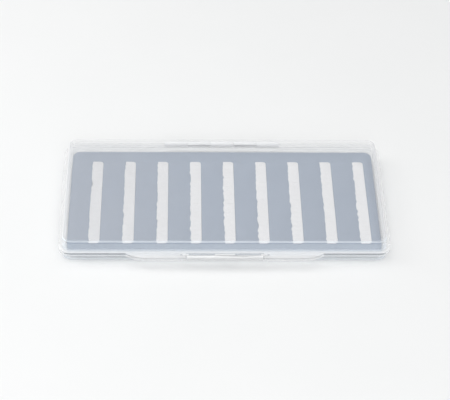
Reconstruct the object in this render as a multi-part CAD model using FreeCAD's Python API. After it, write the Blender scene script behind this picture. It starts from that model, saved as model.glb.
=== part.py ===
"""Slim fly box: a frosted two-shell case with a rear hinge, a front latch flap and a slotted foam insert.

Millimetres. The origin is the centre of the tray's flat underside, +X along the hinge, +Y to the back, +Z up.
Depths called "out" are measured from the rim's front or back edge, away from the box.
"""
import FreeCAD, Part
import math
import os

from FreeCAD import Vector

# Rim, the widest outline of the closed box
rim_length = 190.0
rim_depth = 100.0
rim_corner_radius = 7.5
box_height = 14.0
seam_height = 6.65

# Shells
wall = 2.1
wall_inset = 2.4
floor_thickness = 1.2
roof_thickness = 1.2
lid_flange = 1.0
tray_flange = 1.4
roof_edge_round = 0.9
roof_inner_round = 0.6
floor_edge_round = 1.2
flange_edge_round = 0.3
seam_groove_height = 0.4
seam_groove_depth = 0.9

# Seal lip of the tray, inside the lid's wall
seal_lip_height = 0.8
seal_lip_thickness = 0.6
seal_gap = 0.3

# Finger lips at the front
finger_lip_half = 56.3
finger_lip_run = 10.3
finger_lip_out = 3.9
lip_end_wall = 2.6
lip_end_drop = 1.3
lip_gap = 0.3

# Latch flap, its ears on the lid and its catch on the tray
latch_width = 43.6
latch_end_gap = 0.3
latch_axis_out = 1.4
latch_axis_above_seam = 0.9
latch_barrel_radius = 0.7
latch_peg_radius = 0.5
latch_peg_length = 2.0
latch_peg_clearance = 0.05
latch_middle_web = 11.4
latch_end_web = 1.3
latch_window_depth = 1.4
latch_plate = 0.8
latch_plate_above_seam = 0.3
latch_skirt = 0.9
latch_skirt_drop = 1.3
latch_edge_round = 0.35
latch_bead_radius = 0.2
latch_bead_height = 0.4
ear_width = 2.3
ear_barrel_radius = 0.95
catch_gap = 0.35
catch_end_gap = 0.9
catch_top_drop = 0.2

# Hinge
hinge_length = 70.0
knuckle_count = 5
knuckle_radius = 1.8
knuckle_gap = 0.3
hinge_pin_radius = 0.8
hinge_pin_clearance = 0.05
hinge_blind_end = 1.0
hinge_pin_end_gap = 0.2

# Insert
insert_gap = 0.3
insert_corner_radius = 4.5
film_thickness = 0.15
backing_thickness = 1.0
foam_thickness = 3.65
strip_count = 9
strip_width = 6.0
strip_left_margin = 12.5
strip_right_margin = 5.5
strip_front_margin = 5.7
strip_back_margin = 9.8
strip_corner_radius = 1.0
strip_side_gap = 0.05
strip_proud = 0.1
slit_pitch = 4.0
slit_width = 0.25
slit_depth = 2.6
slit_side_margin = 0.8

# One overrun for every cut, and the distance within which two heights are the same
overrun = 1.0
same_height = 0.001

# Places that follow from the sizes above
inside_inset = wall_inset + wall
rim_front = -rim_depth / 2
rim_back = rim_depth / 2
lip_front = rim_front - finger_lip_out
latch_half = latch_width / 2
ear_inner = latch_half + latch_end_gap
ear_outer = ear_inner + ear_width
latch_axis_y = rim_front - latch_axis_out
latch_axis_z = seam_height + latch_axis_above_seam
hinge_axis_y = rim_back + knuckle_radius + knuckle_gap
hinge_axis_z = seam_height
tray_flange_bottom = seam_height - tray_flange
lid_flange_top = seam_height + lid_flange
film_bottom = floor_thickness
backing_bottom = film_bottom + film_thickness
foam_bottom = backing_bottom + backing_thickness
foam_top = foam_bottom + foam_thickness
insert_inset = inside_inset + insert_gap
insert_left = -rim_length / 2 + insert_inset
insert_right = rim_length / 2 - insert_inset
strip_front = rim_front + insert_inset + strip_front_margin
strip_back = rim_back - insert_inset - strip_back_margin
strip_length = strip_back - strip_front
strip_middle = (strip_front + strip_back) / 2


def box_between(x_range, y_range, z_range):
    """A box from its lowest to its highest value along each axis."""
    size = [high - low for low, high in (x_range, y_range, z_range)]
    return Part.makeBox(*size, Vector(x_range[0], y_range[0], z_range[0]))


def rod_along_x(radius, x_range, y, z):
    """A cylinder along X, from the lower to the higher X."""
    return Part.makeCylinder(radius, x_range[1] - x_range[0], Vector(x_range[0], y, z), Vector(1, 0, 0))


def corner_arc(centre, radius, start_share):
    """A quarter arc of an outline, starting at a share of the full turn."""
    points = []
    for step_share in (0, 1 / 8, 1 / 4):
        angle = 2 * math.pi * (start_share + step_share)
        points.append(centre + Vector(radius * math.cos(angle), radius * math.sin(angle), 0))
    return Part.Arc(*points).toShape(), points[0], points[-1]


def rounded_prism(length, depth, radius, bottom, top):
    """A plate with four rounded corners, centred on the Z axis."""
    x = length / 2 - radius
    y = depth / 2 - radius
    centres = [Vector(x, y, bottom), Vector(-x, y, bottom), Vector(-x, -y, bottom), Vector(x, -y, bottom)]
    arcs = [corner_arc(centre, radius, quarter / 4) for quarter, centre in enumerate(centres)]
    edges = []
    for index, (arc, _, end) in enumerate(arcs):
        next_start = arcs[(index + 1) % len(arcs)][1]
        edges += [arc, Part.LineSegment(end, next_start).toShape()]
    return Part.Face(Part.Wire(edges)).extrude(Vector(0, 0, top - bottom))


def rim_prism(inset, bottom, top):
    """A plate with the rim's outline drawn in by an inset."""
    return rounded_prism(rim_length - 2 * inset, rim_depth - 2 * inset, rim_corner_radius - inset, bottom, top)


def round_edges_at(solid, height, radius):
    """Rounds the edges that lie flat at one height."""
    edges = []
    for edge in solid.Edges:
        low, high = edge.BoundBox.ZMin, edge.BoundBox.ZMax
        if abs(low - height) < same_height and abs(high - height) < same_height:
            edges.append(edge)
    return solid.makeFillet(radius, edges)


def lip_prism(half, out, bottom, top):
    """A finger lip: a shallow bow whose end arcs run into its straight front edge."""
    front_half = half - finger_lip_run
    front = rim_front - out
    root = rim_front + wall_inset
    radius = (finger_lip_run ** 2 + out ** 2) / (2 * out)
    turn = math.atan2(finger_lip_run, radius - out)
    sides = []
    for side in (-1, 1):
        points = []
        for turn_share in (1, 1 / 2, 0):
            angle = turn * turn_share
            x = side * (front_half + radius * math.sin(angle))
            points.append(Vector(x, front + radius - radius * math.cos(angle), bottom))
        sides.append(points)
    left, right = sides
    root_left = Vector(-half, root, bottom)
    root_right = Vector(half, root, bottom)
    edges = [
        Part.LineSegment(root_left, left[0]).toShape(),
        Part.Arc(*left).toShape(),
        Part.LineSegment(left[2], right[2]).toShape(),
        Part.Arc(*reversed(right)).toShape(),
        Part.LineSegment(right[0], root_right).toShape(),
        Part.LineSegment(root_right, root_left).toShape(),
    ]
    return Part.Face(Part.Wire(edges)).extrude(Vector(0, 0, top - bottom))


def knuckle_ranges(first):
    """The X ranges of every second knuckle, from the first one asked for."""
    length = (hinge_length - (knuckle_count - 1) * knuckle_gap) / knuckle_count
    ranges = []
    for index in range(first, knuckle_count, 2):
        start = -hinge_length / 2 + index * (length + knuckle_gap)
        ranges.append((start, start + length))
    return ranges


def knuckles(first, web_bottom, web_top):
    """Hinge barrels on their webs, without the bore."""
    solids = []
    for x_range in knuckle_ranges(first):
        solids.append(rod_along_x(knuckle_radius, x_range, hinge_axis_y, hinge_axis_z))
        solids.append(box_between(x_range, (rim_back - wall_inset, hinge_axis_y), (web_bottom, web_top)))
    return solids


def hinge_bore():
    """The bore through the knuckles, closed at its left end."""
    x_range = (-hinge_length / 2 + hinge_blind_end, hinge_length / 2 + overrun)
    return rod_along_x(hinge_pin_radius + hinge_pin_clearance, x_range, hinge_axis_y, hinge_axis_z)


def joined(solids):
    """One solid from overlapping ones."""
    return solids[0].fuse(solids[1:]).removeSplitter()


def mirrored_pair(solid):
    """A solid and its mirror image in the middle plane of the box."""
    return [solid, solid.mirror(Vector(0, 0, 0), Vector(1, 0, 0))]


def make_base_tray():
    """The lower shell."""
    shell = round_edges_at(rim_prism(wall_inset, 0, seam_height), 0, floor_edge_round)
    groove_bottom = seam_height - seam_groove_height
    inner_half = finger_lip_half - lip_end_wall - lip_gap
    solids = [
        shell,
        rim_prism(0, tray_flange_bottom, groove_bottom),
        rim_prism(seam_groove_depth, groove_bottom, seam_height),
        rim_prism(inside_inset - seal_lip_thickness, seam_height, seam_height + seal_lip_height),
    ]
    lip = lip_prism(inner_half, finger_lip_out, tray_flange_bottom, groove_bottom)
    lip = lip.fuse(lip_prism(inner_half, finger_lip_out - seam_groove_depth, groove_bottom, seam_height))
    solids.append(lip.cut(latch_room()))
    solids += knuckles(0, tray_flange_bottom, seam_height)
    tray = joined(solids)
    tray = tray.cut(rim_prism(inside_inset, floor_thickness, seam_height + seal_lip_height + overrun))
    return tray.cut(hinge_bore())


def latch_room():
    """The space cut from the tray's finger lip for the ears, and down to the catch between them."""
    catch_half = latch_half - catch_end_gap
    catch_out = finger_lip_out - latch_skirt - catch_gap
    ear_side = ear_outer + lip_gap
    tall = (tray_flange_bottom - overrun, seam_height + overrun)
    front = lip_front - overrun
    rooms = mirrored_pair(box_between((catch_half, ear_side), (front, rim_front), tall))
    rooms.append(box_between((-catch_half, catch_half), (front, rim_front - catch_out), tall))
    above_catch = (seam_height - catch_top_drop, seam_height + overrun)
    rooms.append(box_between((-catch_half, catch_half), (front, rim_front), above_catch))
    return joined(rooms)


def make_lid():
    """The upper shell."""
    shell = round_edges_at(rim_prism(wall_inset, seam_height, box_height), box_height, roof_edge_round)
    flange = round_edges_at(rim_prism(0, seam_height, lid_flange_top), lid_flange_top, flange_edge_round)
    solids = [shell, flange]
    solids.append(round_edges_at(
        lip_prism(finger_lip_half, finger_lip_out, seam_height, lid_flange_top), lid_flange_top, flange_edge_round))
    solids += mirrored_pair(lip_end())
    solids += knuckles(1, seam_height, lid_flange_top)
    lid = joined(solids)
    notch = box_between(
        (-ear_inner, ear_inner), (lip_front - overrun, rim_front), (seam_height - overrun, lid_flange_top + overrun))
    lid = lid.cut(notch)
    lid = joined([lid] + mirrored_pair(latch_ear()))
    hollow = rim_prism(inside_inset, seam_height - overrun, box_height - roof_thickness)
    lid = lid.cut(round_edges_at(hollow, box_height - roof_thickness, roof_inner_round))
    rebate_inset = inside_inset - seal_lip_thickness - seal_gap
    lid = lid.cut(rim_prism(rebate_inset, seam_height - overrun, seam_height + seal_lip_height + seal_gap))
    peg_radius = latch_peg_radius + latch_peg_clearance
    peg_bore = rod_along_x(peg_radius, (-ear_outer - overrun, ear_outer + overrun), latch_axis_y, latch_axis_z)
    return lid.cut([hinge_bore(), peg_bore])


def lip_end():
    """The turned-down end of the lid's finger lip, on the right."""
    drop = (seam_height - lip_end_drop, lid_flange_top - flange_edge_round)
    outer = lip_prism(finger_lip_half, finger_lip_out, *drop)
    inner = lip_prism(finger_lip_half - lip_end_wall, finger_lip_out, *drop)
    keep = box_between(
        (0, finger_lip_half), (lip_front - overrun, rim_front - lip_gap), (drop[0] - overrun, drop[1] + overrun))
    return outer.cut(inner).common(keep)


def latch_ear():
    """The right ear of the lid's finger lip, which carries the latch's peg."""
    x_range = (ear_inner, ear_outer)
    block = box_between(
        x_range, (lip_front, rim_front - lip_gap), (seam_height - lip_end_drop, lid_flange_top - flange_edge_round))
    barrel = rod_along_x(ear_barrel_radius, x_range, latch_axis_y, latch_axis_z)
    return joined([block, barrel])


def make_front_latch():
    """The flap: a plate with two windows behind it, a skirt in front and a peg at each end."""
    bottom = seam_height + latch_plate_above_seam
    top = bottom + latch_plate
    skirt_bottom = seam_height - latch_skirt_drop
    window_front = latch_axis_y - latch_window_depth / 2
    middle_half = latch_middle_web / 2
    window_half = latch_half - latch_end_web
    plate = box_between((-latch_half, latch_half), (lip_front, latch_axis_y), (bottom, top))
    skirt = box_between((-latch_half, latch_half), (lip_front, lip_front + latch_skirt), (skirt_bottom, top))
    flap = joined([plate, skirt])
    front_edges = []
    for edge in flap.Edges:
        box = edge.BoundBox
        along = box.XLength > latch_half
        at_front = abs(box.YMax - lip_front) < same_height
        if along and at_front:
            front_edges.append(edge)
    flap = flap.makeFillet(latch_edge_round, front_edges)
    flap = joined([flap, rod_along_x(latch_barrel_radius, (-latch_half, latch_half), latch_axis_y, latch_axis_z)])
    window = box_between(
        (middle_half, window_half),
        (window_front, latch_axis_y + latch_barrel_radius + overrun),
        (skirt_bottom, top + latch_barrel_radius + overrun))
    flap = flap.cut(mirrored_pair(window))
    bead = rod_along_x(
        latch_bead_radius, (-latch_half, latch_half), lip_front + latch_skirt, skirt_bottom + latch_bead_height)
    peg = rod_along_x(latch_peg_radius, (window_half, latch_half + latch_peg_length), latch_axis_y, latch_axis_z)
    return joined([flap, bead] + mirrored_pair(peg))


def make_hinge_pin():
    """The pin, from the blind end to just inside the open one."""
    end = hinge_length / 2 - hinge_pin_end_gap
    x_range = (-hinge_length / 2 + hinge_blind_end + hinge_pin_end_gap, end)
    return rod_along_x(hinge_pin_radius, x_range, hinge_axis_y, hinge_axis_z)


def strip_places():
    """The middle of each strip, spread evenly between the margins at the insert's two ends."""
    first = insert_left + strip_left_margin + strip_width / 2
    last = insert_right - strip_right_margin - strip_width / 2
    pitch = (last - first) / (strip_count - 1)
    return [Vector(first + index * pitch, strip_middle, 0) for index in range(strip_count)]


def insert_sheet(bottom, top):
    """A sheet of the insert, from its lower to its upper face."""
    length = rim_length - 2 * insert_inset
    depth = rim_depth - 2 * insert_inset
    return rounded_prism(length, depth, insert_corner_radius, bottom, top)


def make_slotted_foam():
    """The foam sheet with a slot for each strip."""
    sheet = insert_sheet(foam_bottom, foam_top)
    slot = rounded_prism(
        strip_width + 2 * strip_side_gap, strip_length + 2 * strip_side_gap, strip_corner_radius + strip_side_gap,
        foam_bottom - overrun, foam_top + overrun)
    return sheet.cut([slot.translated(place) for place in strip_places()])


def make_strip(place):
    """One silicone strip, slit across for the hooks."""
    top = foam_top + strip_proud
    body = rounded_prism(strip_width, strip_length, strip_corner_radius, foam_bottom, top)
    slit_half = strip_width / 2 - slit_side_margin
    room = strip_length - 2 * slit_pitch
    slit_count = int(room / slit_pitch) + 1
    slits = []
    for index in range(slit_count):
        y = (index - (slit_count - 1) / 2) * slit_pitch
        slits.append(box_between(
            (-slit_half, slit_half), (y - slit_width / 2, y + slit_width / 2), (top - slit_depth, top + overrun)))
    return body.cut(slits).translated(place)


def make_parts():
    """Every piece of the box under its own name."""
    parts = {
        "base_tray": make_base_tray(),
        "lid": make_lid(),
        "hinge_pin": make_hinge_pin(),
        "front_latch": make_front_latch(),
        "adhesive_film": insert_sheet(film_bottom, backing_bottom),
        "insert_backing": insert_sheet(backing_bottom, foam_bottom),
        "slotted_foam": make_slotted_foam(),
    }
    for number, place in enumerate(strip_places(), start=1):
        parts[f"silicone_strip_{number}"] = make_strip(place)
    return parts


os.makedirs("parts", exist_ok=True)
for name, solid in make_parts().items():
    solid.exportStep(f"parts/{name}.step")
    print(name, "solids", len(solid.Solids), "valid", solid.isValid(), "mm3", round(solid.Volume, 1))
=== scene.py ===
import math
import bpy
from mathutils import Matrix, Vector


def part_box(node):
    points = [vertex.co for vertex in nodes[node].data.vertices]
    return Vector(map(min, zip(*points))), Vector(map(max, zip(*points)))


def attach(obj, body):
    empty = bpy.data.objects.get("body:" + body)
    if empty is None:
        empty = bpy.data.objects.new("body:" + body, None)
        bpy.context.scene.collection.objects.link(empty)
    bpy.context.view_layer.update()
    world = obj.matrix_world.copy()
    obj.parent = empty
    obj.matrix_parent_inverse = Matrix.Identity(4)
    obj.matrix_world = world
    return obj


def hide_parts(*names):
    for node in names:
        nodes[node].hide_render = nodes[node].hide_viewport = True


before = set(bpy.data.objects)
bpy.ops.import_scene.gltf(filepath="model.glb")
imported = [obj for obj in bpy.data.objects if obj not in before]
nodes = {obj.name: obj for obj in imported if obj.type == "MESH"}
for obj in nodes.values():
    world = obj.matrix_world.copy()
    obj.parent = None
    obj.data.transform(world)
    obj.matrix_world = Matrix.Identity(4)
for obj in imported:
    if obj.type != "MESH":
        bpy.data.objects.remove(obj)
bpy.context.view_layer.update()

# The slim fly box dressed: frosted shells, foam insert, silicone strips, pin, floor, light and camera.
# Metres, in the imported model's frame: +X along the hinge, +Y to the back, +Z up from the tray's underside.

from types import SimpleNamespace

import bmesh
import bpy
from mathutils import Quaternion, Vector

MM = 0.001
UP = Vector((0, 0, 1))
DOWN = Vector((0, 0, -1))
FRONT = Vector((0, -1, 0))
BACK = Vector((0, 1, 0))
LEFT = Vector((-1, 0, 0))
RIGHT = Vector((1, 0, 0))

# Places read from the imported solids
tray_low, tray_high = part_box("base_tray")
lid_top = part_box("lid")[1].z
foam_low, foam_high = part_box("slotted_foam")
backing_low, backing_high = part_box("insert_backing")
latch_low, latch_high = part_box("front_latch")
strip_names = sorted(name for name in nodes if name.startswith("silicone_strip"))

# What counts as one place, as lying along a direction, as a large face, as a crease and as square
near = 0.01 * MM
level_slack = 0.002 * MM
touching = 0.001 * MM
mostly = 0.9
large_area = 0.008
crease_angle = math.radians(30)
smooth_angle = math.radians(35)
square_slack = 0.1

# The insert's smaller sizes
insert_corner = 4.5 * MM
insert_corner_steps = 10
die_cut_edge = 0.12 * MM
sheet_edge = 0.3 * MM
slot_play = 0.05 * MM
slot_end_margin = 4 * MM
slot_left_corner = 0.35 * MM
slot_right_corner = 1.9 * MM
slit_pitch = 4.0 * MM
slit_width = 0.08 * MM
slit_depth = 2.6 * MM
slit_margin = 0.8 * MM
strip_left_corner = 0.3 * MM
strip_right_corner = 1.85 * MM
strip_corner_steps = 7
strip_top_edge = 0.09 * MM
ledge_lift = 0.02 * MM
ledge_out = 0.08 * MM
ledge_cuts = 7
# How far the run-over silicone swings, the share of that which draws it back, and the length of its waves
ledge_swing = 1.6 * MM
ledge_inward_share = 0.33
ledge_wave = 2.8 * MM

# The shells' outline, walls and seam
seam = 6.65 * MM
rim_front = -50 * MM
rim_corner = 7.5 * MM
rim_corner_steps = 12
wall_corner = 5.1 * MM
corner_x = 87.5 * MM
corner_y = 42.5 * MM
wall_inset = 2.4 * MM
wall_back = 47.6 * MM
lid_rim_top = 7.65 * MM
tray_rim_bottom = 5.25 * MM
groove_bottom = 6.25 * MM
groove_depth = 0.9 * MM
floor_top = 1.2 * MM
floor_edge_outside = 1.2 * MM
floor_edge_inside = 0.5 * MM
roof_under = 12.8 * MM
roof_edge_outside = 0.9 * MM
roof_edge_inside = 0.6 * MM
seal_inset = 3.0 * MM
seal_thickness = 0.6 * MM
seal_height = 0.8 * MM
seal_play = 0.3 * MM
rebate_inset = 3.6 * MM
mould_edge = 0.08 * MM
# How far inside the rim's faces a form ends that joins it
form_inset = 0.3 * MM

# The finger lip, the latch with its room, and the hinge
lip_half = 56.3 * MM
lip_run = 10.3 * MM
lip_out = 3.9 * MM
lip_steps = 8
tray_lip_shorter = 2.9 * MM
lip_end_length = 9.6 * MM
lip_end_wall = 2.6 * MM
lip_end_steps = 12
# How far the lip's turned-down ends keep behind its front, and how thin they may get
lip_end_behind = 0.1 * MM
lip_end_least = 0.05 * MM
drop_bottom = 5.35 * MM
flap_half = 21.8 * MM
flap_below = 0.6 * MM
flap_above = 0.2 * MM
flap_front_edge = 0.35 * MM
flap_edge = 0.05 * MM
flap_merge = 0.0005 * MM
window_depth = 0.7 * MM
middle_web_half = 5.7 * MM
end_web_start = 20.5 * MM
skirt_thickness = 0.9 * MM
bead_radius = 0.2 * MM
bead_height = 0.4 * MM
bead_shorter = 0.02 * MM
barrel_radius = 0.7 * MM
peg_radius = 0.5 * MM
latch_y = -51.4 * MM
latch_z = 7.55 * MM
ear_inner = 22.1 * MM
ear_outer = 24.4 * MM
ear_radius = 0.95 * MM
peg_hole_radius = 0.55 * MM
catch_half = 20.9 * MM
catch_out = 2.65 * MM
catch_lift = 0.2 * MM
# The end of the gap in the tray's lip that the latch and its ears need
room_outer = 24.7 * MM
hinge_length = 70 * MM
hinge_y = 52.1 * MM
knuckle_count = 5
knuckle_gap = 0.3 * MM
knuckle_radius = 1.8 * MM
knuckle_web_short = 1.2 * MM
knuckle_web_inset = 0.02 * MM
pin_radius = 0.8 * MM
pin_play = 0.05 * MM
table_drop = 0.05 * MM

# Where each part of the shells fades in: places, or for a slope the upward share of the surface's normal
corner_fade = (MM, 3 * MM)
flat_fade = (0.9, 0.99)
slope_fade = (0.1, 0.5)
knuckle_top_fade = (0, 0.4)
underside_fade = (0.3, 0.6)
roof_fade = (roof_under - 0.4 * MM, roof_under - 0.1 * MM)
rim_fade = (wall_corner - 0.05 * MM, wall_corner + 0.25 * MM)
rim_width_fade = (wall_corner, rim_corner)
skin_fade = (wall_corner - 0.8 * MM, wall_corner - 0.4 * MM)
lid_fade = (seam + 0.02 * MM, seam + 0.06 * MM)
groove_height_fade = (groove_bottom - 0.05 * MM, groove_bottom)
groove_depth_fade = (rim_corner - groove_depth - 0.08 * MM, rim_corner - groove_depth)
groove_front_fade = (48 * MM, 49 * MM)
groove_end_fade = (lip_half - MM, lip_half + MM)
front_fade = (40 * MM, 46 * MM)
# Across which the roof's painted sheen grows, from the right towards the left
painted_sheen_fade = (-10 * MM, 90 * MM)
side_fade = (89.8 * MM, 91.0 * MM)
hinge_fade = (50.1 * MM, 50.3 * MM)
lip_fade = (50.05 * MM, 50.3 * MM)
flap_milk_fade = (5.8 * MM, 7.0 * MM)

# How milky each part of the shells looks, from 0 for clear to 1 for white, and what raises or lowers it
lid_wall_haze = 0.09
lid_wall_less_at_front = 0.06
lid_wall_more_in_skin = 0.15
# Painted highlight: the lid wall's front corners made whiter, as if catching the light
lid_wall_painted_highlight_in_corner = 0.3
tray_wall_haze = 0.2
tray_wall_more_at_front = 0.2
tray_ledge_haze = 0.8
tray_ledge_less_at_front = 0.65
roof_haze = 0.085
# Painted sheen: the roof's white veil grows towards the left, as if a light there shone on it
roof_painted_sheen_at_left = 0.07
roof_more_at_side = 0.45
roof_edge_haze = 0.42
roof_edge_more_at_side = 0.38
lid_rim_edge_haze = 0.12
lid_rim_edge_less_at_front = 0.06
lid_rim_haze = 0.2
lid_rim_more_at_front = 0.16
lid_rim_more_outside = 0.34
lid_rim_less_on_lip = 0.2
tray_rim_edge_haze = 0.2
tray_rim_edge_more_at_front = 0.22
tray_rim_haze = 0.08
tray_rim_more_on_lip = 0.31
# Extra cover in the seam groove, so that the painted shade given to it there shows
groove_shade_haze = 0.55
knuckle_haze = 0.6
knuckle_more_on_top = 0.3
underside_less = 0.8
cloud_share = 0.3


class Value:
    """A number that varies over a surface. Python's operators on it add the maths nodes."""

    def __init__(self, finish, socket):
        self.finish = finish
        self.socket = socket

    def maths(self, operation, *values):
        return self.finish.node("ShaderNodeMath", {"operation": operation}, dict(enumerate(values)))

    def __add__(self, other):
        return self.maths("ADD", self, other)

    def __sub__(self, other):
        return self.maths("SUBTRACT", self, other)

    def __rsub__(self, other):
        return self.maths("SUBTRACT", other, self)

    def __mul__(self, other):
        return self.maths("MULTIPLY", self, other)

    def __pow__(self, other):
        return self.maths("POWER", self, other)

    def __abs__(self):
        return self.maths("ABSOLUTE", self)

    def at_least(self, other):
        return self.maths("MAXIMUM", self, other)

    __radd__ = __add__
    __rmul__ = __mul__


class Finish:
    """A material being made, node by node."""

    def __init__(self, name):
        self.material = bpy.data.materials.new(name)
        self.material.use_nodes = True
        self.tree = self.material.node_tree
        self.tree.nodes.clear()

    def node(self, kind, settings=None, inputs=None, output=0):
        """Adds a node, sets it up, fills or links its sockets, and returns one of its outputs."""
        made = self.tree.nodes.new(kind)
        for name, setting in (settings or {}).items():
            setattr(made, name, setting)
        for name, given in (inputs or {}).items():
            if isinstance(given, Value):
                self.tree.links.new(given.socket, made.inputs[name])
            else:
                made.inputs[name].default_value = given
        return Value(self, made.outputs[output])

    def place(self):
        """The surface's place in the object, in metres."""
        return self.node("ShaderNodeTexCoord", output="Object")

    def split(self, vector):
        """The three parts of a vector, each a number."""
        first = self.node("ShaderNodeSeparateXYZ", inputs={"Vector": vector})
        return [Value(self, output) for output in first.socket.node.outputs]

    def facing(self):
        """How far the surface faces up or down. Its normal turns over where it is seen from behind."""
        return self.split(self.node("ShaderNodeTexCoord", output="Normal"))[2]

    def noise(self, waves, detail, stretch=(1, 1, 1)):
        """Soft noise from 0 to 1, with so many waves to the metre."""
        where = self.node("ShaderNodeMapping", None, {"Vector": self.place(), "Scale": stretch})
        inputs = {"Vector": where, "Scale": waves, "Detail": detail, "Roughness": 0.55}
        return self.node("ShaderNodeTexNoise", None, inputs)

    def ramp(self, value, fade):
        """0 below the fade's first value, 1 above its second, and smooth between them."""
        settings = {"interpolation_type": "SMOOTHSTEP"}
        return self.node("ShaderNodeMapRange", settings, {0: value, 1: fade[0], 2: fade[1]})

    def blend(self, share, first, second):
        """A colour between two colours."""
        settings = {"data_type": "RGBA"}
        return self.node("ShaderNodeMix", settings, {0: share, 6: first, 7: second}, output=2)

    def bump(self, height, distance, strength):
        """A normal from a height, in metres."""
        inputs = {"Height": height, "Distance": distance, "Strength": strength}
        return self.node("ShaderNodeBump", None, inputs)

    def surface(self, inputs):
        """Ends the material with its shader."""
        shader = self.node("ShaderNodeBsdfPrincipled", None, inputs)
        end = self.tree.nodes.new("ShaderNodeOutputMaterial")
        self.tree.links.new(shader.socket, end.inputs["Surface"])
        return self.material


def colour(red, green, blue):
    """A colour with full cover."""
    return (red, green, blue, 1.0)


def between(first, second, share):
    """A number on the way from the first to the second."""
    return first * (1 - share) + second * share


def shell_parts(finish):
    """How far a place on the shells belongs to each of their parts, from 0 to 1."""
    x, y, z = finish.split(finish.place())
    facing = finish.facing()
    slope = abs(facing)
    forward = 0 - y
    beyond_x = (abs(x) - corner_x).at_least(0)
    beyond_y = (abs(y) - corner_y).at_least(0)
    out = (beyond_x ** 2 + beyond_y ** 2) ** 0.5
    lid = finish.ramp(z, lid_fade)
    roof = finish.ramp(z, roof_fade)
    hinge = finish.ramp(y, hinge_fade)
    # The seam groove at the front, where a dark colour is painted in as shade
    groove = finish.ramp(z, groove_height_fade) * (1 - lid) * finish.ramp(out, groove_depth_fade)
    groove = groove * finish.ramp(forward, groove_front_fade) * finish.ramp(abs(x), groove_end_fade)
    return SimpleNamespace(
        lid=lid,
        roof=roof,
        hinge=hinge,
        groove=groove,
        # The corners, where the lid's front corners get a painted highlight
        corner=finish.ramp(beyond_x, corner_fade) * finish.ramp(beyond_y, corner_fade),
        flat=finish.ramp(slope, flat_fade),
        sloping=finish.ramp(slope, slope_fade),
        knuckle_top=finish.ramp(facing, knuckle_top_fade),
        underside=finish.ramp(0 - facing, underside_fade) * (1 - roof) * (1 - hinge),
        rim=finish.ramp(out, rim_fade),
        outside=finish.ramp(out, rim_width_fade),
        skin=finish.ramp(out, skin_fade),
        front=finish.ramp(forward, front_fade),
        lip=finish.ramp(forward, lip_fade),
        left=finish.ramp(0 - x, painted_sheen_fade),
        side=finish.ramp(abs(x), side_fade),
        flap_milk=finish.ramp(z, flap_milk_fade),
    )


def wall_and_roof_haze(part):
    """How milky the shells' walls and the lid's roof look, with painted highlights on the lid's front corners
    and a painted sheen on the roof's left.
    """
    # The front corners of the lid's outer wall get a painted highlight
    in_skin = lid_wall_more_in_skin * part.skin + lid_wall_painted_highlight_in_corner * part.skin * part.corner
    lid_wall = lid_wall_haze + part.front * (in_skin - lid_wall_less_at_front)
    tray_side = tray_wall_haze + tray_wall_more_at_front * part.front
    tray_ledge = tray_ledge_haze - tray_ledge_less_at_front * part.front
    wall = between(between(tray_side, tray_ledge, part.flat), lid_wall, part.lid)
    roof_edge = (roof_edge_haze + roof_edge_more_at_side * part.side) * part.sloping
    # The roof's flat top gets a painted sheen that grows towards the left
    roof_flat = roof_haze + roof_painted_sheen_at_left * part.left + roof_more_at_side * part.side
    return between(wall, between(roof_edge, roof_flat, part.flat), part.roof)


def rim_haze(part):
    """How milky the rim, the finger lip and the knuckles look, and how far the painted shade in the seam
    groove shows.
    """
    lid_edge = lid_rim_edge_haze - lid_rim_edge_less_at_front * part.front
    lid_front = lid_rim_more_at_front + lid_rim_more_outside * part.outside - lid_rim_less_on_lip * part.lip
    lid_rim = between(lid_edge, lid_rim_haze + lid_front * part.front, part.flat)
    tray_edge = tray_rim_edge_haze + tray_rim_edge_more_at_front * part.front
    tray_rim = between(tray_edge, tray_rim_haze + tray_rim_more_on_lip * part.lip, part.flat)
    tray_rim = between(tray_rim, groove_shade_haze, part.groove * (1 - part.lip))
    knuckle = knuckle_haze + knuckle_more_on_top * part.knuckle_top
    return between(between(tray_rim, lid_rim, part.lid), knuckle, part.hinge)


def frosted_plastic(name, milk):
    """Frosted polypropylene: clear enough to show the insert, milkier in its edges, rim and lower shell, with
    painted shade in the seam groove, painted highlights on the lid's front corners and a painted sheen on the
    roof's left.
    """
    finish = Finish(name)
    part = shell_parts(finish)
    grain = finish.noise(2600, 3)
    cloud = finish.noise(70, 3) - 0.5
    haze = between(wall_and_roof_haze(part), rim_haze(part), part.rim)
    haze = haze * (1 - underside_less * part.underside)
    haze = between(haze, 1, milk * part.flap_milk)
    shell_tint = colour(0.94, 0.945, 0.95)
    front_tint = colour(0.88, 0.94, 1.0)
    roof_tint = colour(0.68, 0.69, 0.71)
    # Painted shade: a dark grey that stands for the shadow in the seam groove
    groove_painted_shade = colour(0.36, 0.37, 0.38)
    tint = finish.blend(part.front * (1 - part.rim), shell_tint, front_tint)
    tint = finish.blend(part.roof * part.flat, tint, roof_tint)
    return finish.surface({
        "Base Color": finish.blend(part.groove * (1 - part.lip), tint, groove_painted_shade),
        "Roughness": 0.4 + 0.1 * grain,
        "Alpha": haze * (1 + cloud_share * cloud),
        "Normal": finish.bump(grain, 0.02 * MM, 0.4),
    })


def closed_cell_foam(name, pale, dark):
    """Closed-cell foam sheet: fine cells and a faint cloudiness."""
    finish = Finish(name)
    inputs = {"Vector": finish.place(), "Scale": 1800.0}
    cells = finish.node("ShaderNodeTexVoronoi", None, inputs, output="Distance")
    cloud = finish.noise(90, 4)
    shade = 0.6 * cloud + 0.4 * cells
    return finish.surface({
        "Base Color": finish.blend(shade, dark, pale),
        "Roughness": 0.82,
        "Normal": finish.bump(cells, 0.05 * MM, 0.5),
    })


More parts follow.
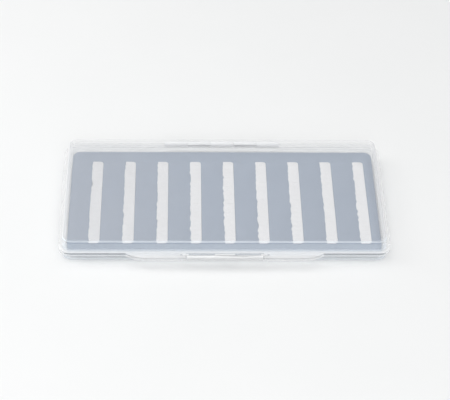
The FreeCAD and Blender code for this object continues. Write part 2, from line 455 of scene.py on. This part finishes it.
def white_silicone():
    """Off-white silicone, softly glossy, with a slightly uneven skin."""
    finish = Finish("white_silicone")
    cloud = finish.noise(160, 4)
    skin = finish.noise(900, 3)
    return finish.surface({
        "Base Color": finish.blend(cloud, colour(0.85, 0.845, 0.85), colour(0.91, 0.905, 0.905)),
        "Roughness": 0.38 + 0.15 * skin,
        "Normal": finish.bump(skin, 0.05 * MM, 0.5),
    })


def milky_plastic():
    """Natural acetal, milky white, with faint draw lines along the pin."""
    finish = Finish("milky_plastic")
    lines = finish.noise(3000, 3, stretch=(0.03, 1, 1))
    return finish.surface({
        "Base Color": finish.blend(lines, colour(0.86, 0.86, 0.84), colour(0.92, 0.92, 0.9)),
        "Roughness": 0.3 + 0.15 * lines,
        "Normal": finish.bump(lines, 0.01 * MM, 0.4),
    })


def glue_film():
    """The insert's adhesive film, faintly yellow."""
    finish = Finish("glue_film")
    cloud = finish.noise(200, 3)
    return finish.surface({
        "Base Color": finish.blend(cloud, colour(0.76, 0.74, 0.66), colour(0.84, 0.82, 0.75)),
        "Roughness": 0.5,
        "Normal": finish.bump(cloud, 0.03 * MM, 0.4),
    })


def pale_table():
    """The pale surface that the box lies on."""
    finish = Finish("pale_table")
    cloud = finish.noise(12, 3)
    return finish.surface({
        "Base Color": finish.blend(cloud, colour(0.86, 0.865, 0.86), colour(0.89, 0.89, 0.885)),
        "Roughness": 0.7,
    })


def clothe(thing, material):
    """Gives an object one material."""
    thing.data.materials.clear()
    thing.data.materials.append(material)


def leave_edit_mode():
    """Goes to object mode with nothing selected."""
    if bpy.context.mode != "OBJECT":
        bpy.ops.object.mode_set(mode="OBJECT")
    bpy.ops.object.select_all(action="DESELECT")


def take(piece):
    """Selects one piece alone, in object mode."""
    leave_edit_mode()
    piece.select_set(True)
    bpy.context.view_layer.objects.active = piece


def name_new(name):
    """Names the new piece, puts its place and turn into its mesh, and enters edit mode."""
    piece = bpy.context.object
    piece.name = name
    piece.data.name = name
    bpy.ops.object.transform_apply(location=True, rotation=True, scale=True)
    bpy.ops.object.mode_set(mode="EDIT")
    return piece


def add_block(name, low, high):
    """A block between two corners, in edit mode."""
    leave_edit_mode()
    middle = (Vector(low) + Vector(high)) / 2
    bpy.ops.mesh.primitive_cube_add(size=1, location=middle, scale=Vector(high) - Vector(low))
    return name_new(name)


def add_rod(name, radius, x_range, y, z, sides=40):
    """A round bar along X, in edit mode."""
    leave_edit_mode()
    start, end = x_range
    bpy.ops.mesh.primitive_cylinder_add(
        vertices=sides, radius=radius, depth=end - start,
        location=((start + end) / 2, y, z), rotation=(0, math.pi / 2, 0))
    return name_new(name)


def pick(kind, test):
    """Selects the faces, edges or points that pass a test on their middle and themselves."""
    mesh = bpy.context.object.data
    bpy.ops.mesh.select_mode(type=kind)
    bpy.ops.mesh.select_all(action="DESELECT")
    shape = bmesh.from_edit_mesh(mesh)
    parts = {"VERT": shape.verts, "EDGE": shape.edges, "FACE": shape.faces}[kind]
    for part in parts:
        if kind == "VERT":
            middle = part.co
        elif kind == "EDGE":
            middle = (part.verts[0].co + part.verts[1].co) / 2
        else:
            middle = part.calc_center_median()
        if test(middle, part):
            part.select_set(True)
    shape.select_flush_mode()
    bmesh.update_edit_mesh(mesh)


def looks(face, direction):
    """True for a face that looks along a direction."""
    return face.normal.dot(direction) > mostly


def upright(edge):
    """True for an edge that stands up."""
    return abs(edge.verts[0].co.z - edge.verts[1].co.z) > mostly * edge.calc_length() > 0


def level(edge, height):
    """True for an edge that lies at one height."""
    return all(abs(vertex.co.z - height) < level_slack for vertex in edge.verts)


def crease(edge):
    """True for an edge between faces that meet at a clear angle."""
    return len(edge.link_faces) == 2 and edge.calc_face_angle() > crease_angle


def on_rim_front(middle, face):
    """True for a face in the rim's front."""
    return looks(face, FRONT) and abs(middle.y - rim_front) < near


def pick_main_face(height, direction):
    """Selects the large face in the middle at one height."""
    pick("FACE", lambda middle, face: (
        abs(middle.z - height) < near and looks(face, direction) and face.calc_area() > large_area))


def cut(place, normal):
    """Cuts what is selected with a plane."""
    bpy.ops.mesh.bisect(plane_co=place, plane_no=normal, threshold=touching)


def cut_all(place, normal):
    """Cuts the whole piece with a plane."""
    bpy.ops.mesh.select_all(action="SELECT")
    cut(place, normal)


def cut_faces_at(test, x):
    """Cuts the faces that pass a test at a place along X."""
    pick("FACE", test)
    cut((x, 0, 0), RIGHT)


def round_off(radius, segments):
    """Rounds the selected edges."""
    bpy.ops.mesh.bevel(offset=radius, segments=segments, affect="EDGES")


def push(x=0.0, y=0.0, z=0.0):
    """Extrudes the selected faces along a line."""
    bpy.ops.mesh.extrude_region_move(TRANSFORM_OT_translate={"value": (x, y, z)})


def inset(thickness):
    """Draws the selected faces in."""
    bpy.ops.mesh.inset(thickness=thickness, use_even_offset=True)


def bore_through(wall):
    """Makes a tube of a bar along X, leaving a wall."""
    pick("FACE", lambda middle, face: looks(face, LEFT) or looks(face, RIGHT))
    bpy.ops.mesh.inset(thickness=wall)
    bpy.ops.mesh.bridge_edge_loops()


def merge_into(piece, other, operation="UNION"):
    """Adds a form to a piece or cuts it away, and removes it."""
    take(piece)
    change = piece.modifiers.new("merge", "BOOLEAN")
    change.operation = operation
    change.solver = "EXACT"
    change.object = other
    bpy.ops.object.modifier_apply(modifier="merge")
    bpy.data.objects.remove(other)


def soften(piece, width, merge=0.004 * MM):
    """Takes the sharpness off a piece's edges, as in a mould."""
    take(piece)
    bpy.ops.object.mode_set(mode="EDIT")
    bpy.ops.mesh.select_all(action="SELECT")
    bpy.ops.mesh.remove_doubles(threshold=merge)
    bpy.ops.mesh.dissolve_limited(angle_limit=math.radians(0.5))
    bpy.ops.object.mode_set(mode="OBJECT")
    softer = piece.modifiers.new("soften", "BEVEL")
    softer.width = width
    softer.segments = 2
    softer.limit_method = "ANGLE"
    softer.angle_limit = math.radians(40)
    softer.use_clamp_overlap = False
    bpy.ops.object.modifier_apply(modifier="soften")


def copy_along(piece, name, shift):
    """A copy of a piece with its own mesh, moved by a shift that is then applied."""
    take(piece)
    bpy.ops.object.duplicate(linked=False)
    twin = bpy.context.object
    twin.name = name
    twin.data.name = name
    bpy.ops.transform.translate(value=shift)
    bpy.ops.object.transform_apply(location=True, rotation=False, scale=False)
    return twin


def done(piece, material, body, slot, *replaced):
    """Ends the modelling of a piece: smooth but for its creases, dressed and carried."""
    take(piece)
    bpy.ops.object.shade_smooth_by_angle(angle=smooth_angle)
    clothe(piece, material)
    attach(piece, body)
    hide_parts(*replaced)


def make_backing(material):
    """The plain foam sheet under the slotted one, die cut with round corners."""
    backing = add_block("backing_sheet", backing_low, backing_high)
    pick("EDGE", lambda middle, edge: upright(edge))
    round_off(insert_corner, insert_corner_steps)
    pick("EDGE", lambda middle, edge: crease(edge) and not upright(edge))
    round_off(die_cut_edge, 2)
    done(backing, material, "tray", "backing_foam", "insert_backing")


def make_slotted_sheet(material):
    """The top foam sheet with its nine slots, their rims a little rounded."""
    sheet = add_block("slotted_sheet", foam_low, foam_high)
    pick("EDGE", lambda middle, edge: upright(edge))
    round_off(insert_corner, insert_corner_steps)
    pick("EDGE", lambda middle, edge: crease(edge) and level(edge, foam_high.z))
    round_off(sheet_edge, 3)
    play = Vector((slot_play, slot_play, 0))
    slots = []
    for name in strip_names:
        low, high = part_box(name)
        slots.append((low - play, high + play))
    first, last = slots[0][0], slots[-1][1]
    cut_all((0, first.y, 0), BACK)
    cut_all((0, slots[0][1].y, 0), BACK)
    for low, high in slots:
        cut_all((low.x, 0, 0), RIGHT)
        cut_all((high.x, 0, 0), RIGHT)
    for low, high in slots:
        pick("FACE", lambda middle, face: low.x < middle.x < high.x and low.y < middle.y < high.y)
        bpy.ops.mesh.bridge_edge_loops()

    def slot_corner(middle, edge):
        across = first.x - MM < middle.x < last.x + MM
        return upright(edge) and across and abs(middle.y) < foam_high.y - slot_end_margin and crease(edge)

    def left_corner(middle, edge):
        return slot_corner(middle, edge) and any(abs(middle.x - low.x) < near for low, high in slots)

    def square_corner(middle, edge):
        return slot_corner(middle, edge) and abs(edge.calc_face_angle() - math.pi / 2) < square_slack

    pick("EDGE", left_corner)
    round_off(slot_left_corner, 3)
    pick("EDGE", square_corner)
    round_off(slot_right_corner, strip_corner_steps)
    pick("EDGE", lambda middle, edge: crease(edge) and level(edge, foam_high.z))
    round_off(die_cut_edge, 2)
    done(sheet, material, "tray", "slotted_foam", "slotted_foam")


def make_first_strip():
    """One silicone strip: nearly square at the left, round at the right, slit across, a ledge at its left."""
    low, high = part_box(strip_names[0])
    middle_x = (low.x + high.x) / 2
    middle_y = (low.y + high.y) / 2
    strip = add_block(strip_names[0] + "_cast", low, high)
    pick("EDGE", lambda middle, edge: upright(edge) and middle.x < middle_x)
    round_off(strip_left_corner, 2)
    pick("EDGE", lambda middle, edge: upright(edge) and middle.x > high.x - 10 * near)
    round_off(strip_right_corner, strip_corner_steps)
    cut_all((0, 0, foam_high.z + ledge_lift), UP)
    cut_all((low.x + slit_margin, 0, 0), RIGHT)
    cut_all((high.x - slit_margin, 0, 0), RIGHT)
    count = int((high.y - low.y) / slit_pitch)
    slits = [middle_y + (step - (count - 1) / 2) * slit_pitch for step in range(count)]
    for slit in slits:
        cut_all((0, slit - slit_width / 2, 0), BACK)
        cut_all((0, slit + slit_width / 2, 0), BACK)

    def slit_mouth(middle, face):
        across = low.x + slit_margin < middle.x < high.x - slit_margin
        along = any(abs(middle.y - slit) < slit_width / 2 for slit in slits)
        return across and along and middle.z > high.z - near

    def ledge_line(middle, edge):
        return middle.x < low.x + touching and middle.z > foam_high.z and not upright(edge)

    def right_rim(middle, edge):
        return level(edge, high.z) and crease(edge) and middle.x > high.x - slot_right_corner

    pick("FACE", slit_mouth)
    push(z=-slit_depth)
    pick("EDGE", ledge_line)
    bpy.ops.mesh.subdivide(number_cuts=ledge_cuts)
    pick("FACE", lambda middle, face: looks(face, LEFT) and middle.z > foam_high.z)
    push(x=-ledge_out)
    pick("EDGE", right_rim)
    round_off(strip_top_edge, 2)
    return strip


def make_edge_noise():
    """The unevenness of the strips' left edges."""
    noise = bpy.data.textures.new("uneven_edge", "CLOUDS")
    noise.noise_scale = ledge_wave
    noise.noise_depth = 2
    noise.noise_type = "SOFT_NOISE"
    return noise


def make_strips(material):
    """Nine strips, each with its own uneven left edge where the silicone ran over the foam."""
    edge_noise = make_edge_noise()
    strips = [make_first_strip()]
    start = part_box(strip_names[0])[0]
    for name in strip_names[1:]:
        strips.append(copy_along(strips[0], name + "_cast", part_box(name)[0] - start))
    for name, strip in zip(strip_names, strips):
        low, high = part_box(name)
        take(strip)
        edge = strip.vertex_groups.new(name="uneven_edge")
        ledge = [v.index for v in strip.data.vertices if v.co.x < low.x - near and v.co.z > foam_high.z]
        edge.add(ledge, 1.0, "REPLACE")
        ragged = strip.modifiers.new("uneven_edge", "DISPLACE")
        ragged.texture = edge_noise
        ragged.texture_coords = "LOCAL"
        ragged.direction = "X"
        ragged.strength = -ledge_swing
        ragged.mid_level = ledge_inward_share
        ragged.vertex_group = "uneven_edge"
        bpy.ops.object.modifier_apply(modifier="uneven_edge")
        done(strip, material, "tray", "silicone", name)


def bow_back(x, half):
    """How far the finger lip's outline has drawn back at a place along it."""
    radius = (lip_run ** 2 + lip_out ** 2) / (2 * lip_out)
    along = min(max(abs(x) - (half - lip_run), 0), lip_run)
    return radius - math.sqrt(radius ** 2 - along ** 2)


def grow_lip(spans, half):
    """Draws spans of the rim's front face out into a finger lip, and bows its two ends."""
    stations = [half - lip_run * (1 - step / lip_steps) for step in range(lip_steps + 1)]
    places = {x for span in spans for x in span}
    places.update(side * station for side in (-1, 1) for station in stations)
    for x in sorted(places):
        cut_faces_at(on_rim_front, x)
    pick("FACE", lambda middle, face: (
        on_rim_front(middle, face) and any(low < middle.x < high for low, high in spans)))
    push(y=-lip_out)
    for station in stations[1:]:
        pick("VERT", lambda middle, vertex: (
            abs(abs(middle.x) - station) < near and abs(middle.y - rim_front + lip_out) < near))
        bpy.ops.transform.translate(value=(0, min(bow_back(station, half), lip_out), 0))
    bpy.ops.mesh.select_all(action="SELECT")
    bpy.ops.mesh.remove_doubles(threshold=near)


def add_rim(name, bottom, top):
    """A plate with the rim's outline, in edit mode."""
    plate = add_block(name, (tray_low.x, rim_front, bottom), (tray_high.x, -rim_front, top))
    pick("EDGE", lambda middle, edge: upright(edge))
    round_off(rim_corner, rim_corner_steps)
    return plate


def add_knuckles(piece, first, web_bottom, web_top):
    """Every second hinge knuckle, a tube on its web."""
    length = (hinge_length - (knuckle_count - 1) * knuckle_gap) / knuckle_count
    web_back = hinge_y - knuckle_web_short
    for index in range(first, knuckle_count, 2):
        start = -hinge_length / 2 + index * (length + knuckle_gap)
        end = start + length
        low = (start, wall_back, web_bottom + knuckle_web_inset)
        high = (end, web_back, web_top - knuckle_web_inset)
        merge_into(piece, add_block("web", low, high))
        tube = add_rod("tube", knuckle_radius, (start, end), hinge_y, seam)
        bore_through(knuckle_radius - pin_radius - pin_play)
        merge_into(piece, tube)


def make_tray_shell(material):
    """The lower shell: rim with its finger lip and catch, walls, floor, seam groove and seal lip."""
    tray = add_rim("tray_shell", tray_rim_bottom, groove_bottom)
    half = lip_half - tray_lip_shorter
    grow_lip([(-half, -room_outer), (room_outer, half)], half)

    def on_catch(middle):
        return abs(middle.x) < catch_half and middle.y < rim_front

    def top_but_catch(middle, face):
        return looks(face, UP) and abs(middle.z - groove_bottom) < near and not on_catch(middle)

    for x in (-catch_half, catch_half):
        cut_faces_at(on_rim_front, x)
    pick("FACE", lambda middle, face: on_rim_front(middle, face) and abs(middle.x) < catch_half)
    push(y=-catch_out)
    pick_main_face(tray_rim_bottom, DOWN)
    inset(wall_inset)
    push(z=-tray_rim_bottom)
    pick("EDGE", lambda middle, edge: level(edge, 0))
    round_off(floor_edge_outside, 5)
    pick("FACE", top_but_catch)
    bpy.ops.mesh.dissolve_faces()
    inset(groove_depth)
    push(z=seam - groove_bottom)
    cut((0, rim_front + groove_depth, 0), BACK)
    pick("FACE", lambda middle, face: (
        looks(face, UP) and on_catch(middle) and middle.z > groove_bottom - MM))
    push(z=catch_lift)
    pick_main_face(seam, UP)
    inset(seal_inset)
    push(z=seal_height)
    inset(seal_thickness)
    push(z=-(seam + seal_height - floor_top))
    pick("EDGE", lambda middle, edge: level(edge, floor_top))
    round_off(floor_edge_inside, 3)
    add_knuckles(tray, 0, tray_rim_bottom, seam)
    soften(tray, mould_edge)
    done(tray, material, "tray", "frosted_polypropylene", "base_tray")


def add_lip_end(side):
    """The turned-down end of the lid's finger lip."""
    low_x, high_x = lip_half - lip_end_length, lip_half
    front = rim_front - lip_out
    back = rim_front - form_inset
    drop = add_block("lip_end", (low_x, front, drop_bottom), (high_x, back, lid_rim_top - form_inset))
    stations = [low_x + lip_end_length * step / lip_end_steps for step in range(lip_end_steps + 1)]
    for x in stations[1:-1]:
        cut_all((x, 0, 0), RIGHT)
    for x in stations:
        outer = min(front + lip_end_behind + bow_back(x, lip_half), back - lip_end_least)
        inner = min(front + bow_back(x, lip_half - lip_end_wall), back)
        pick("VERT", lambda middle, vertex: abs(middle.x - x) < near and middle.y < (front + back) / 2)
        bpy.ops.transform.translate(value=(0, outer - front, 0))
        pick("VERT", lambda middle, vertex: abs(middle.x - x) < near and abs(middle.y - back) < touching)
        bpy.ops.transform.translate(value=(0, inner - back, 0))
    if side < 0:
        bpy.ops.mesh.select_all(action="SELECT")
        bpy.ops.transform.mirror(
            orient_type="GLOBAL", constraint_axis=(True, False, False), center_override=(0, 0, 0))
        bpy.ops.mesh.flip_normals()
    return drop


def add_ear(lid, side):
    """One of the two ears that carry the latch, with the hole for its peg."""
    start, end = sorted((side * ear_inner, side * ear_outer))
    front = rim_front - lip_out
    back = rim_front - form_inset
    merge_into(lid, add_block("ear", (start, front, drop_bottom), (end, back, lid_rim_top - form_inset)))
    merge_into(lid, add_rod("ear_barrel", ear_radius, (start, end), latch_y, latch_z))
    hole = add_rod("peg_hole", peg_hole_radius, (start - MM, end + MM), latch_y, latch_z, 24)
    merge_into(lid, hole, "DIFFERENCE")


def make_lid_shell(material):
    """The upper shell: rim with its finger lip, turned-down ends and latch ears, walls and roof."""
    lid = add_rim("lid_shell", seam, lid_rim_top)
    grow_lip([(-lip_half, -ear_inner), (ear_inner, lip_half)], lip_half)
    pick_main_face(lid_rim_top, UP)
    inset(wall_inset)
    push(z=lid_top - lid_rim_top)
    pick("EDGE", lambda middle, edge: level(edge, lid_top))
    round_off(roof_edge_outside, 5)
    pick_main_face(seam, DOWN)
    inset(rebate_inset)
    push(z=seal_height + seal_play)
    inset(seal_thickness + seal_play)
    push(z=roof_under - seam - seal_height - seal_play)
    pick("EDGE", lambda middle, edge: level(edge, roof_under))
    round_off(roof_edge_inside, 3)
    for side in (-1, 1):
        merge_into(lid, add_lip_end(side))
        add_ear(lid, side)
    add_knuckles(lid, 1, seam, lid_rim_top)
    soften(lid, mould_edge)
    done(lid, material, "lid", "frosted_polypropylene", "lid")


def make_latch_flap(material):
    """The flap: a plate, a skirt with its bead, two windows behind and a peg at each end."""
    bottom = latch_z - flap_below
    top = latch_z + flap_above
    front = latch_low.y
    skirt_back = front + skirt_thickness
    window_front = latch_y - window_depth
    flap = add_block("latch_flap", (-flap_half, front, bottom), (flap_half, window_front, top))

    def at_back(middle, face):
        return looks(face, BACK) and abs(middle.y - window_front) < near

    def front_edge(middle, edge):
        along = abs(edge.verts[0].co.x - edge.verts[1].co.x) > flap_half
        return along and middle.y < front + near and crease(edge)

    for x in (-end_web_start, -middle_web_half, middle_web_half, end_web_start):
        cut_faces_at(at_back, x)
    pick("FACE", lambda middle, face: (
        at_back(middle, face) and not middle_web_half < abs(middle.x) < end_web_start))
    push(y=window_depth)
    pick("FACE", lambda middle, face: looks(face, DOWN))
    cut((0, skirt_back, 0), BACK)
    pick("FACE", lambda middle, face: looks(face, DOWN) and middle.y < skirt_back)
    push(z=drop_bottom - bottom)
    pick("EDGE", front_edge)
    round_off(flap_front_edge, 4)
    bead_span = (bead_shorter - flap_half, flap_half - bead_shorter)
    merge_into(flap, add_rod("bead", bead_radius, bead_span, skirt_back, drop_bottom + bead_height, 16))
    webs = ((-flap_half, -end_web_start), (-middle_web_half, middle_web_half), (end_web_start, flap_half))
    for span in webs:
        merge_into(flap, add_rod("barrel", barrel_radius, span, latch_y, latch_z, 32))
    for span in ((latch_low.x, -end_web_start), (end_web_start, latch_high.x)):
        merge_into(flap, add_rod("peg", peg_radius, span, latch_y, latch_z, 24))
    soften(flap, flap_edge, flap_merge)
    done(flap, material, "latch", "frosted_polypropylene", "front_latch")


def make_stage():
    """The table top, a hair below the box, so that no face of the two is in one plane."""
    bpy.ops.mesh.primitive_plane_add(size=6, location=(0, 0, -table_drop))
    table = bpy.context.object
    table.name = "table_top"
    clothe(table, pale_table())


def make_light(name, place, size, watts):
    """A soft square light that faces the box."""
    data = bpy.data.lights.new(name, "AREA")
    data.size = size
    data.energy = watts
    light = bpy.data.objects.new(name, data)
    light.location = place
    light.rotation_mode = "QUATERNION"
    light.rotation_quaternion = (-Vector(place)).to_track_quat("-Z", "Y")
    bpy.context.scene.collection.objects.link(light)


def make_lights():
    """A wide soft light overhead, one over the camera, a small one at the left, and an even sky."""
    make_light("softbox_above", place=(0.1, 0.25, 1.5), size=1.6, watts=10.2)
    make_light("softbox_front", place=(0.1, -1.3, 0.9), size=1.0, watts=10.5)
    make_light("panel_left", place=(-0.74, 0.15, 0.6), size=0.5, watts=2.6)
    world = bpy.data.worlds.new("sky")
    world.use_nodes = True
    sky = world.node_tree.nodes["Background"]
    sky.inputs["Color"].default_value = colour(0.97, 0.985, 1.0)
    sky.inputs["Strength"].default_value = 0.38
    bpy.context.scene.world = world


def make_camera():
    """The photograph's view: 40 degrees down on the front edge, from a little over a metre away."""
    turn = math.radians(-1.78)
    elevation = math.radians(39.56)
    roll = math.radians(1.25)
    aim = Vector((1.17 * MM, 6.77 * MM, 0))
    distance = 1108.9 * MM
    ahead = math.cos(elevation)
    back = Vector((math.sin(turn) * ahead, -math.cos(turn) * ahead, math.sin(elevation)))
    data = bpy.data.cameras.new("camera")
    data.lens = 149.34
    data.sensor_width = 36
    camera = bpy.data.objects.new("camera", data)
    camera.location = aim + back * distance
    camera.rotation_mode = "QUATERNION"
    camera.rotation_quaternion = back.to_track_quat("Z", "Y") @ Quaternion((0, 0, 1), roll)
    bpy.context.scene.collection.objects.link(camera)
    bpy.context.scene.camera = camera


frosted = frosted_plastic("frosted_polypropylene", 0)
make_tray_shell(frosted)
make_lid_shell(frosted)
make_latch_flap(frosted_plastic("frosted_flap", 0.4))
clothe(nodes["hinge_pin"], milky_plastic())
clothe(nodes["adhesive_film"], glue_film())
make_backing(closed_cell_foam("backing_foam", colour(0.3, 0.36, 0.46), colour(0.26, 0.32, 0.41)))
make_slotted_sheet(closed_cell_foam("slotted_foam", colour(0.4, 0.45, 0.53), colour(0.34, 0.39, 0.47)))
make_strips(white_silicone())
make_stage()
make_lights()
make_camera()
bpy.context.scene.view_settings.view_transform = "Standard"
# A line of sight through both shells crosses more than the usual eight see-through layers
bpy.context.scene.cycles.transparent_max_bounces = 32
